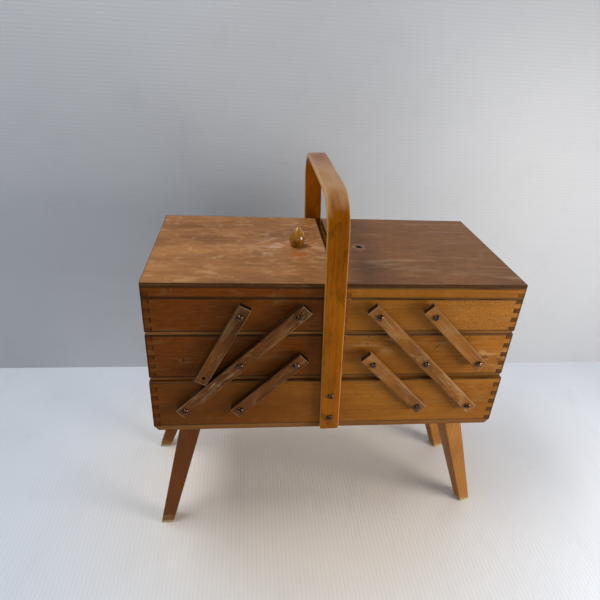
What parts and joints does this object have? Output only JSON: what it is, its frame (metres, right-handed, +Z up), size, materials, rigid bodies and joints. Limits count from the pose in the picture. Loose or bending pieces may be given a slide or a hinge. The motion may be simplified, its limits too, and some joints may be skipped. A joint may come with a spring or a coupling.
{
  "type": "wooden cantilever sewing box",
  "caption": "Wooden cantilever sewing box: tiered trays swing outwards on wooden arms over a fixed bottom tray, with two hinged lids, a bent carrying handle and splayed tapered legs.",
  "frame": {"origin": "on the floor, under the middle of the box", "axes": "+X along the box, to the right seen from the front; -Y is the front; +Z up"},
  "size_m": [0.4645, 0.2238, 0.4682],
  "materials": {
    "tray_wood": "glossy",
    "lid_wood": "glossy",
    "arm_wood": "glossy",
    "handle_wood": "glossy",
    "leg_wood": "glossy",
    "knob_wood": "glossy",
    "plywood": "satin",
    "screw_steel": "polished",
    "hinge_brass": "satin"
  },
  "bodies": {
    "base": {"bottom_back_wall": "tray_wood", "bottom_front_wall": "tray_wood", "bottom_left_end": "tray_wood", "bottom_panel": "plywood", "bottom_pivot_screws": "screw_steel", "bottom_right_end": "tray_wood", "handle": "handle_wood", "handle_screws": "screw_steel", "leg_back_left": "leg_wood", "leg_back_right": "leg_wood", "leg_front_left": "leg_wood", "leg_front_right": "leg_wood", "leg_screws": "screw_steel"},
    "left_long_arms": {"left_long_arm_front": "arm_wood", "left_long_arm_back": "arm_wood"},
    "left_lower_arms": {"left_lower_arm_front": "arm_wood", "left_lower_arm_back": "arm_wood"},
    "left_middle_tray": {"middle_left_back_wall": "tray_wood", "middle_left_front_wall": "tray_wood", "middle_left_inner_end": "tray_wood", "middle_left_outer_end": "tray_wood", "middle_left_panel": "plywood", "middle_left_pivot_screws": "screw_steel"},
    "left_upper_arms": {"left_upper_arm_back": "arm_wood"},
    "left_top_tray": {"left_tray_hinge_leaves": "hinge_brass", "top_left_back_wall": "tray_wood", "top_left_front_wall": "tray_wood", "top_left_inner_end": "tray_wood", "top_left_outer_end": "tray_wood", "top_left_panel": "plywood", "top_left_pivot_screws": "screw_steel"},
    "left_lid": {"knob": "knob_wood", "left_lid_end_rails": "lid_wood", "left_lid_hinge_leaves": "hinge_brass", "left_lid_long_rails": "lid_wood", "left_lid_panel": "lid_wood"},
    "right_long_arms": {"right_long_arm_front": "arm_wood", "right_long_arm_back": "arm_wood"},
    "right_lower_arms": {"right_lower_arm_front": "arm_wood", "right_lower_arm_back": "arm_wood"},
    "right_middle_tray": {"middle_right_back_wall": "tray_wood", "middle_right_front_wall": "tray_wood", "middle_right_inner_end": "tray_wood", "middle_right_outer_end": "tray_wood", "middle_right_panel": "plywood", "middle_right_pivot_screws": "screw_steel"},
    "right_upper_arms": {"right_upper_arm_front": "arm_wood", "right_upper_arm_back": "arm_wood"},
    "right_top_tray": {"right_tray_hinge_leaves": "hinge_brass", "top_right_back_wall": "tray_wood", "top_right_front_wall": "tray_wood", "top_right_inner_end": "tray_wood", "top_right_outer_end": "tray_wood", "top_right_panel": "plywood", "top_right_pivot_screws": "screw_steel"},
    "right_lid": {"right_lid_end_rails": "lid_wood", "right_lid_hinge_leaves": "hinge_brass", "right_lid_long_rails": "lid_wood", "right_lid_panel": "lid_wood"},
    "left_loose_arm": {"left_loose_arm": "arm_wood"}
  },
  "joints": [
    {"name": "left_trays_swing", "type": "hinge", "parent": "base", "child": "left_long_arms", "pos_m": [-0.162, 0, 0.2225], "axis": [0, -1, 0], "range_deg": [0, 90]},
    {"name": "left_lower_arms_pivot", "type": "hinge", "parent": "base", "child": "left_lower_arms", "pos_m": [-0.102, 0, 0.2225], "axis": [0, -1, 0], "range_deg": [0, 90]},
    {"name": "left_middle_tray_pivot", "type": "hinge", "parent": "left_long_arms", "child": "left_middle_tray", "pos_m": [-0.102, 0, 0.2825], "axis": [0, -1, 0], "range_deg": [-90, 0]},
    {"name": "left_top_tray_pivot", "type": "hinge", "parent": "left_long_arms", "child": "left_top_tray", "pos_m": [-0.042, 0, 0.3425], "axis": [0, -1, 0], "range_deg": [-90, 0]},
    {"name": "left_upper_arms_pivot", "type": "hinge", "parent": "left_middle_tray", "child": "left_upper_arms", "pos_m": [-0.162, 0, 0.2825], "axis": [0, -1, 0], "range_deg": [0, 90]},
    {"name": "left_lid_hinge", "type": "hinge", "parent": "left_top_tray", "child": "left_lid", "pos_m": [-0.2025, 0, 0.3584], "axis": [0, -1, 0], "range_deg": [0, 105]},
    {"name": "right_trays_swing", "type": "hinge", "parent": "base", "child": "right_long_arms", "pos_m": [0.162, 0, 0.2225], "axis": [0, 1, 0], "range_deg": [0, 90]},
    {"name": "right_lower_arms_pivot", "type": "hinge", "parent": "base", "child": "right_lower_arms", "pos_m": [0.102, 0, 0.2225], "axis": [0, 1, 0], "range_deg": [0, 90]},
    {"name": "right_middle_tray_pivot", "type": "hinge", "parent": "right_long_arms", "child": "right_middle_tray", "pos_m": [0.102, 0, 0.2825], "axis": [0, 1, 0], "range_deg": [-90, 0]},
    {"name": "right_top_tray_pivot", "type": "hinge", "parent": "right_long_arms", "child": "right_top_tray", "pos_m": [0.042, 0, 0.3425], "axis": [0, 1, 0], "range_deg": [-90, 0]},
    {"name": "right_upper_arms_pivot", "type": "hinge", "parent": "right_middle_tray", "child": "right_upper_arms", "pos_m": [0.162, 0, 0.2825], "axis": [0, 1, 0], "range_deg": [0, 90]},
    {"name": "right_lid_hinge", "type": "hinge", "parent": "right_top_tray", "child": "right_lid", "pos_m": [0.2025, 0, 0.3584], "axis": [0, 1, 0], "range_deg": [0, 105]},
    {"name": "left_loose_arm_pivot", "type": "hinge", "parent": "left_top_tray", "child": "left_loose_arm", "pos_m": [-0.102, 0, 0.3425], "axis": [0, 1, 0], "range_deg": [0, 100]}
  ],
  "couplings": [
    {"joint": "left_lower_arms_pivot", "follows": "left_trays_swing", "ratio": 1},
    {"joint": "left_middle_tray_pivot", "follows": "left_trays_swing", "ratio": -1},
    {"joint": "left_top_tray_pivot", "follows": "left_trays_swing", "ratio": -1},
    {"joint": "left_upper_arms_pivot", "follows": "left_trays_swing", "ratio": 1},
    {"joint": "right_lower_arms_pivot", "follows": "right_trays_swing", "ratio": 1},
    {"joint": "right_middle_tray_pivot", "follows": "right_trays_swing", "ratio": -1},
    {"joint": "right_top_tray_pivot", "follows": "right_trays_swing", "ratio": -1},
    {"joint": "right_upper_arms_pivot", "follows": "right_trays_swing", "ratio": 1}
  ]
}
